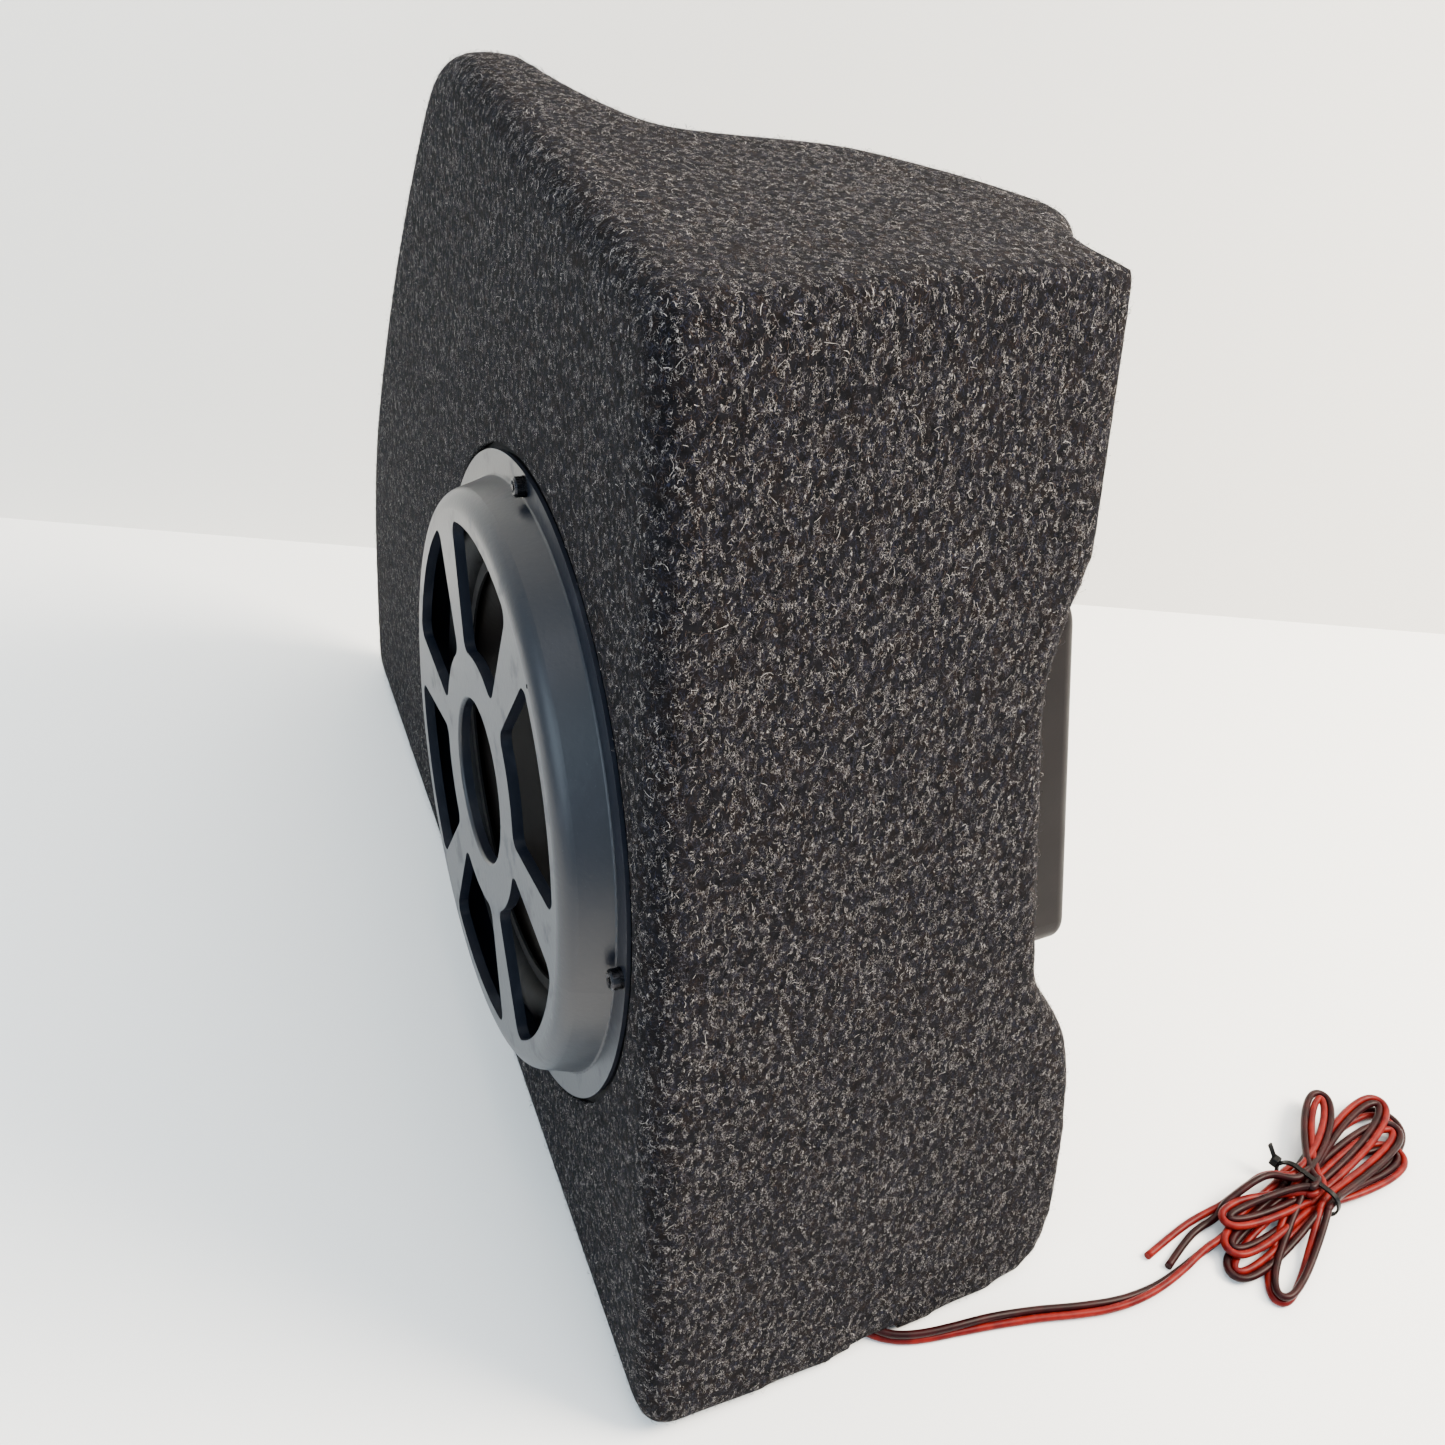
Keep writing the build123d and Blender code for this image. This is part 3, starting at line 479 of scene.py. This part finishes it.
def module_prism(grow, low, high):
    """A closed prism on the amplifier module's rounded outline, grown by so many mm, between two heights."""
    outline = []
    corners = [Vector(p) for p in AMP_OUTLINE]
    for before, here, after in zip(corners[-1:] + corners[:-1], corners, corners[1:] + corners[:1]):
        sides = ((here - before).normalized(), (after - here).normalized())
        outward = [Vector((d.y, -d.x)) for d in sides]
        middle = (outward[0] + outward[1]).normalized()
        centre = here - middle * (AMP_CORNER_R / middle.dot(outward[0]))
        start, end = (math.atan2(n.y, n.x) for n in outward)
        turn = (end - start) % (2 * math.pi)
        for k in range(9):
            a = start + turn * k / 8
            outline.append(centre + Vector((math.cos(a), math.sin(a))) * (AMP_CORNER_R + grow))
    rings = [
        AMP_ORIGIN + (Vector((-u, 0, 0)) + AMP_UP * v + AMP_OUT * depth) * MM
        for depth in (low, high) for u, v in outline
    ]
    count = len(outline)
    faces = [(i, (i + 1) % count, (i + 1) % count + count, i + count) for i in range(count)]
    faces += [tuple(reversed(range(count))), tuple(range(count, 2 * count))]
    return closed_object("prism", rings, faces)


def closed_object(name, vertices, faces):
    made = new_mesh_object(name, vertices, faces, smooth=False)
    mesh = bmesh.new()
    mesh.from_mesh(made.data)
    bmesh.ops.recalc_face_normals(mesh, faces=mesh.faces)
    mesh.to_mesh(made.data)
    mesh.free()
    return made


def cylinder_y(radius, front, back, sides=128):
    """A closed drum about the driver's axis, in mm behind the front face."""
    rings = []
    for y in (front, back):
        for k in range(sides):
            a = 2 * math.pi * k / sides
            across = bench(radius * math.cos(a), y)
            rings.append(Vector((across.x, across.y, DRIVER_AXIS.z + radius * math.sin(a) * MM)))
    faces = [(i, (i + 1) % sides, (i + 1) % sides + sides, i + sides) for i in range(sides)]
    faces += [tuple(range(sides)), tuple(range(sides, 2 * sides))]
    return closed_object("drum", rings, faces)


def box_between(low, high):
    """A closed block between two opposite corners given in bench millimetres."""
    low, high = bench(*low), bench(*high)
    corners = [(x, y, z) for x in (low[0], high[0]) for y in (low[1], high[1]) for z in (low[2], high[2])]
    faces = [(0, 1, 3, 2), (4, 6, 7, 5), (0, 4, 5, 1), (2, 3, 7, 6), (0, 2, 6, 4), (1, 5, 7, 3)]
    return closed_object("block", corners, faces)


def apply_modifiers(target):
    graph = bpy.context.evaluated_depsgraph_get()
    mesh = bpy.data.meshes.new_from_object(target.evaluated_get(graph))
    old = target.data
    target.modifiers.clear()
    target.data = mesh
    bpy.data.meshes.remove(old)


def joined_copy(name, objects):
    """One mesh object from the shapes of several, which stay."""
    mesh = bmesh.new()
    for part in objects:
        mesh.from_mesh(part.data)
    data = bpy.data.meshes.new(name)
    mesh.to_mesh(data)
    mesh.free()
    made = bpy.data.objects.new(name, data)
    bpy.context.collection.objects.link(made)
    return made


def largest_part(target):
    """Leaves only the connected part with the widest box: the outside."""
    mesh = bmesh.new()
    mesh.from_mesh(target.data)
    left = set(mesh.verts)
    best, best_size = None, -1.0
    while left:
        stack = [left.pop()]
        part = [stack[0]]
        while stack:
            for edge in stack.pop().link_edges:
                for v in edge.verts:
                    if v in left:
                        left.remove(v)
                        stack.append(v)
                        part.append(v)
        xs = [v.co.x for v in part]
        size = max(xs) - min(xs)
        if size > best_size:
            best, best_size = set(part), size
    bmesh.ops.delete(mesh, geom=[v for v in mesh.verts if v not in best], context="VERTS")
    mesh.to_mesh(target.data)
    mesh.free()


def round_back(block):
    """Rounds the edges of the back's two bulges further than the rest."""
    start, full = bench(0, BACK_START).y, bench(0, BACK_FULL).y
    group = block.vertex_groups.new(name="back")
    for v in block.data.vertices:
        weight = (v.co.y - start) / (full - start)
        if weight > 0:
            group.add([v.index], min(1.0, weight), "REPLACE")
    rounding = block.modifiers.new("rounding", "SMOOTH")
    rounding.factor = 0.5
    rounding.iterations = BACK_ROUNDINGS
    rounding.vertex_group = group.name
    apply_modifiers(block)


def soft_block():
    """The cabinet's outside as one closed block with softly rounded edges."""
    plug = cylinder_y(HOLE_R + 1, 0, 10)
    back_plug = module_prism(MODULE_GAP + 0.5, -10, 3)
    solids = [NODES[n] for n in ("carpet_cover", "enclosure_shell", "front_baffle", "lead_grommet")]
    tunnel_plug = box_between(*TUNNEL_PLUG)
    plugs = [plug, back_plug, tunnel_plug]
    block = joined_copy("carpet", solids + plugs)
    for used in plugs:
        bpy.data.objects.remove(used)
    remesh = block.modifiers.new("remesh", "REMESH")
    remesh.mode = "VOXEL"
    remesh.voxel_size = VOXEL
    apply_modifiers(block)
    largest_part(block)
    smooth = block.modifiers.new("smooth", "SMOOTH")
    smooth.factor = 0.5
    smooth.iterations = SMOOTHINGS
    apply_modifiers(block)
    round_back(block)
    return block


def make_carpet():
    """The carpet skin: the soft block cut open at the driver, the module and the lead, then hollowed."""
    skin = soft_block()
    skin.data.materials.clear()
    skin.data.materials.append(carpet_material())
    cut = bpy.data.materials.new("cut_away")
    cutters = [
        cylinder_y(HOLE_R, -20, 30),
        module_prism(MODULE_GAP, -25, 60),
        box_between(*TUNNEL_SLOT),
    ]
    for cutter in cutters:
        cutter.data.materials.append(cut)
        boolean = skin.modifiers.new("cut", "BOOLEAN")
        boolean.operation = "DIFFERENCE"
        boolean.object = cutter
        boolean.material_mode = "TRANSFER"
    apply_modifiers(skin)
    for cutter in cutters:
        bpy.data.objects.remove(cutter)
    index = [i for i, m in enumerate(skin.data.materials) if m == cut]
    mesh = bmesh.new()
    mesh.from_mesh(skin.data)
    gone = [f for f in mesh.faces if f.material_index in index]
    bmesh.ops.delete(mesh, geom=gone, context="FACES")
    bmesh.ops.delete(mesh, geom=[v for v in mesh.verts if not v.link_faces], context="VERTS")
    mesh.to_mesh(skin.data)
    mesh.free()
    while len(skin.data.materials) > 1:
        skin.data.materials.pop()
    skin.data.shade_smooth()
    return skin


def fibre_roots(skin, count, rng):
    """Places and normals spread evenly over a mesh's faces, the underside left out."""
    mesh = skin.data
    mesh.calc_loop_triangles()
    corners = np.empty(len(mesh.loop_triangles) * 3, np.int32)
    mesh.loop_triangles.foreach_get("vertices", corners)
    places = np.empty(len(mesh.vertices) * 3)
    mesh.vertices.foreach_get("co", places)
    normals = np.empty(len(mesh.vertices) * 3)
    mesh.vertices.foreach_get("normal", normals)
    places, normals = places.reshape(-1, 3), normals.reshape(-1, 3)
    corners = corners.reshape(-1, 3)
    a, b, c = (places[corners[:, k]] for k in range(3))
    area = np.linalg.norm(np.cross(b - a, c - a), axis=1)
    area[normals[corners].mean(axis=1)[:, 2] < -0.6] = 0
    chosen = rng.choice(len(corners), count, p=area / area.sum())
    u, v = rng.random((2, count, 1))
    flip = u + v > 1
    u, v = np.where(flip, 1 - u, u), np.where(flip, 1 - v, v)
    root = a[chosen] + u * (b - a)[chosen] + v * (c - a)[chosen]
    normal = normals[corners[chosen]].mean(axis=1)
    return root, normal / np.linalg.norm(normal, axis=1)[:, None]


# Colour and share of the loose fibres, and the number of cross-sections along each.
FIBRE_TINTS = [
    ((0.0025, 0.0024, 0.0042), 0.34), ((0.012, 0.012, 0.021), 0.24), ((0.056, 0.051, 0.058), 0.16),
    ((0.38, 0.35, 0.33), 0.07), ((0.048, 0.030, 0.022), 0.12), ((0.0006, 0.0006, 0.0010), 0.06),
]
STEPS = 4


def make_pile(skin, piece, count):
    """Loose curly fibres lying on the carpet, some standing off it."""
    rng = np.random.default_rng(PILE_SEED + piece)
    root, normal = fibre_roots(skin, count, rng)
    lay = np.array((0.15, 0.1, 1.0)) + rng.normal(0, 0.75, (count, 3))
    flat = lay - normal * (lay * normal).sum(axis=1)[:, None]
    flat /= np.linalg.norm(flat, axis=1)[:, None]
    across = np.cross(normal, flat)
    length = rng.gamma(5.0, 0.00046, count).clip(0.0011, 0.0065)
    curl = rng.normal(0, 1.0, count) / 0.0017
    rise = rng.gamma(1.6, 0.00030, count).clip(0, 0.0024)
    lean = rng.random(count)
    width = rng.uniform(0.00009, 0.00018, count)
    heading = np.zeros(count)
    point = root.copy()
    rows = []
    for step in range(STEPS):
        share = step / (STEPS - 1)
        lifted = np.sin(math.pi * (0.15 + share * (0.45 + 0.4 * lean))) * rise - 0.0001
        sideways = -np.sin(heading)[:, None] * flat + np.cos(heading)[:, None] * across
        here = point + normal * lifted[:, None]
        taper = 1.0 - 0.55 * share
        half = sideways * (width * taper / 2)[:, None]
        tilt = normal * (width * 0.3 * np.sin(7 * share + curl * 0.01))[:, None]
        rows.append((here - half - tilt, here + half + tilt))
        onward = np.cos(heading)[:, None] * flat + np.sin(heading)[:, None] * across
        point = point + onward * (length / (STEPS - 1))[:, None]
        heading = heading + curl * length / (STEPS - 1)
    vertices = np.stack([side for row in rows for side in row], axis=1).reshape(-1, 3)
    each = 2 * STEPS
    base = (np.arange(count) * each)[:, None]
    pattern = np.array([(2 * k, 2 * k + 1, 2 * k + 3, 2 * k + 2) for k in range(STEPS - 1)]).reshape(1, -1)
    faces = (base + pattern).reshape(-1, 4)
    mesh = bpy.data.meshes.new(f"pile_{piece}")
    mesh.vertices.add(len(vertices))
    mesh.vertices.foreach_set("co", vertices.ravel())
    mesh.loops.add(faces.size)
    mesh.loops.foreach_set("vertex_index", faces.ravel().astype(np.int32))
    mesh.polygons.add(len(faces))
    mesh.polygons.foreach_set("loop_start", np.arange(0, faces.size, 4, dtype=np.int32))
    mesh.update(calc_edges=True)
    shares = np.array([s for _, s in FIBRE_TINTS])
    kinds = rng.choice(len(FIBRE_TINTS), count, p=shares / shares.sum())
    tints = np.array([t for t, _ in FIBRE_TINTS])[kinds] * rng.uniform(0.75, 1.25, (count, 1))
    colours = np.concatenate([np.repeat(tints, each, axis=0), np.ones((count * each, 1))], axis=1)
    attribute = mesh.color_attributes.new("tint", "FLOAT_COLOR", "POINT")
    attribute.data.foreach_set("color", colours.astype(np.float32).ravel())
    made = bpy.data.objects.new(f"pile_{piece}", mesh)
    bpy.context.collection.objects.link(made)
    return made


def pull_in(node, distance):
    """Draws a node's surface in, so that it stays under the rounded carpet."""
    weld = node.modifiers.new("weld", "WELD")
    weld.merge_threshold = 0.00001
    inward = node.modifiers.new("inward", "DISPLACE")
    inward.mid_level = 0.0
    inward.strength = -distance


def cover_with_carpet():
    skin = make_carpet()
    for name in ("enclosure_shell", "front_baffle"):
        pull_in(NODES[name], SHELL_INWARD)
    fibre = pile_material()
    for piece in range(PILE_PIECES):
        pile = make_pile(skin, piece, FIBRES_EACH)
        pile.data.materials.append(fibre)
        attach(pile, ROOT)
    thick = skin.modifiers.new("thickness", "SOLIDIFY")
    thick.thickness = CARPET
    thick.offset = -1
    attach(skin, ROOT)
    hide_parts("carpet_cover")


# ---------------------------------------------------------------- finishes of the CAD pieces
FINISHES = {
    "grille": lambda: painted_metal("grille_paint", (0.0022, 0.0036, 0.0080, 1), 0.36),
    "grille_screws screw_washers amp_screws": lambda: bare_metal("screw_black", (0.03, 0.03, 0.034, 1), 0.24),
    "amp_cover": lambda: moulded(
        "casing_plastic", (0.0060, 0.0042, 0.0042, 1), 0.45, shine=0.12
    ),
    "enclosure_shell": lambda: fibreboard("shell_fibre", (0.020, 0.013, 0.008, 1)),
    # Painted shade: the baffle board and its flecks are made near black, so the ring of board seen between
    # the carpet cut and the grille flange reads as the shadowed gap there.
    "front_baffle": lambda: fibreboard(
        "baffle_painted_shadow_black", (0.0022, 0.0020, 0.0020, 1), (0.004, 0.0035, 0.003, 1)
    ),
    "lower_brace upper_brace": lambda: fibreboard("board_wood", (0.16, 0.10, 0.055, 1)),
    "acoustic_wadding": lambda: cloth("wadding", (0.35, 0.34, 0.33, 1), 0.004),
    "driver_frame": lambda: moulded("basket_paint", (0.002, 0.002, 0.0022, 1), 0.45, shine=0.1),
    "amp_base_plate transistor_bar": lambda: bare_metal("plate_metal", (0.38, 0.38, 0.39, 1), 0.4),
    "frame_gasket amp_seal": lambda: rubber("foam_black", (0.004, 0.004, 0.004, 1), 400),
    "cone dust_cap": lambda: moulded("cone_black", (0.0030, 0.0020, 0.0017, 1), 0.42, 260, 0.00008, 0.08),
    "surround": lambda: rubber("surround_rubber", (0.0030, 0.0030, 0.0034, 1)),
    "spider": lambda: cloth("spider_cloth", (0.20, 0.13, 0.05, 1)),
    "tinsel_leads voice_coil_winding filter_chokes": lambda: bare_metal(
        "copper_wire", (0.55, 0.26, 0.13, 1), 0.35, (1, 30, 1)
    ),
    "top_plate pole_yoke": lambda: bare_metal("steel_zinc", (0.42, 0.42, 0.43, 1), 0.35),
    "magnet supply_toroid": lambda: moulded("ferrite", (0.008, 0.008, 0.009, 1), 0.6, 500, 0.00006),
    "voice_coil_former": lambda: bare_metal("former_aluminium", (0.6, 0.6, 0.62, 1), 0.3),
    "terminal_board switch_body potentiometers power_transistors": lambda: moulded(
        "plastic_black", (0.006, 0.006, 0.006, 1), 0.45
    ),
    "gain_knob crossover_knob phase_switch": lambda: moulded("knob_plastic", (0.009, 0.009, 0.010, 1), 0.38),
    "terminal_tags board_standoffs": lambda: bare_metal("brass_tag", (0.50, 0.34, 0.12, 1), 0.3),
    "circuit_board": lambda: moulded("board_green", (0.004, 0.030, 0.010, 1), 0.4),
    "reservoir_capacitors": lambda: moulded("capacitor_sleeve", (0.010, 0.012, 0.030, 1), 0.35),
    "terminal_block": lambda: moulded("terminal_green", (0.010, 0.10, 0.03, 1), 0.4),
    "blade_fuse": lambda: moulded("fuse_amber", (0.35, 0.10, 0.01, 1), 0.25),
    "input_jacks": lambda: bare_metal("jack_nickel", (0.50, 0.47, 0.42, 1), 0.22),
    "power_lamp": lambda: moulded("lamp_red", (0.16, 0.004, 0.004, 1), 0.15),
    "lead_grommet supply_loom speaker_loom": lambda: rubber("grommet_rubber", (0.006, 0.006, 0.006, 1)),
    "cable_tie": lambda: moulded("tie_black", (0.0012, 0.0012, 0.0014, 1), 0.36, shine=0.08),
}


def finish_nodes():
    """Every shown CAD node gets its finish."""
    for names, make in FINISHES.items():
        material = make()
        for name in names.split():
            NODES[name].data.materials.clear()
            NODES[name].data.materials.append(material)


# ---------------------------------------------------------------- studio
ROOM_HALF = 4  # metres
WALL_HEIGHT = 3
WALL_FOOT = ((-0.415, -0.063, 0), (-0.239, 0.449, 0))  # two places where the wall meets the floor
LIGHT_AIM = (0, 0, 0.2)
SKY_COLOUR = (0.74, 0.88, 1.0, 1)
SKY_STRENGTH = 1.6
# Name, place, size, power in watts and colour.
LIGHTS = [
    ("key", (0.8, 1.5, 1.7), (1.0, 1.0), 190, (1.0, 0.88, 0.72)),
    ("fill", (0.9, -1.5, 1.3), (1.4, 1.2), 26, (0.70, 0.86, 1.0)),
    ("top", (0.4, 0.3, 2.2), (1.4, 1.4), 46, (1.0, 0.95, 0.90)),
]


def make_room():
    """A pale floor and wall, and soft lights."""
    floor_shader = Shader("floor_paper")
    floor_shader.set(Base_Color=(0.84, 0.835, 0.82, 1), Roughness=0.9)
    wall_shader = Shader("wall_paper")
    wall_shader.set(Base_Color=(0.80, 0.775, 0.73, 1), Roughness=0.95)
    corners = [(x * ROOM_HALF, y * ROOM_HALF, 0) for x, y in ((-1, -1), (1, -1), (1, 1), (-1, 1))]
    floor = new_mesh_object("floor", corners, [(0, 1, 2, 3)])
    floor.data.materials.append(floor_shader.material)
    start, end = (Vector(place) for place in WALL_FOOT)
    along = (end - start).normalized()
    low, high = start - along * ROOM_HALF, start + along * ROOM_HALF
    up = Vector((0, 0, WALL_HEIGHT))
    wall = new_mesh_object("wall", [low, high, high + up, low + up], [(0, 1, 2, 3)])
    wall.data.materials.append(wall_shader.material)
    world = bpy.data.worlds.new("world")
    bpy.context.scene.world = world
    world.use_nodes = True
    background = world.node_tree.nodes["Background"].inputs
    background["Color"].default_value = SKY_COLOUR
    background["Strength"].default_value = SKY_STRENGTH
    for name, place, size, power, colour in LIGHTS:
        data = bpy.data.lights.new(name, "AREA")
        data.shape = "RECTANGLE"
        data.size, data.size_y = size
        data.energy = power
        data.color = colour
        lamp = bpy.data.objects.new(name, data)
        lamp.location = place
        lamp.rotation_euler = (Vector(LIGHT_AIM) - Vector(place)).to_track_quat("-Z", "Y").to_euler()
        bpy.context.collection.objects.link(lamp)


make_camera()
make_lead()
cover_with_carpet()
finish_nodes()
make_room()
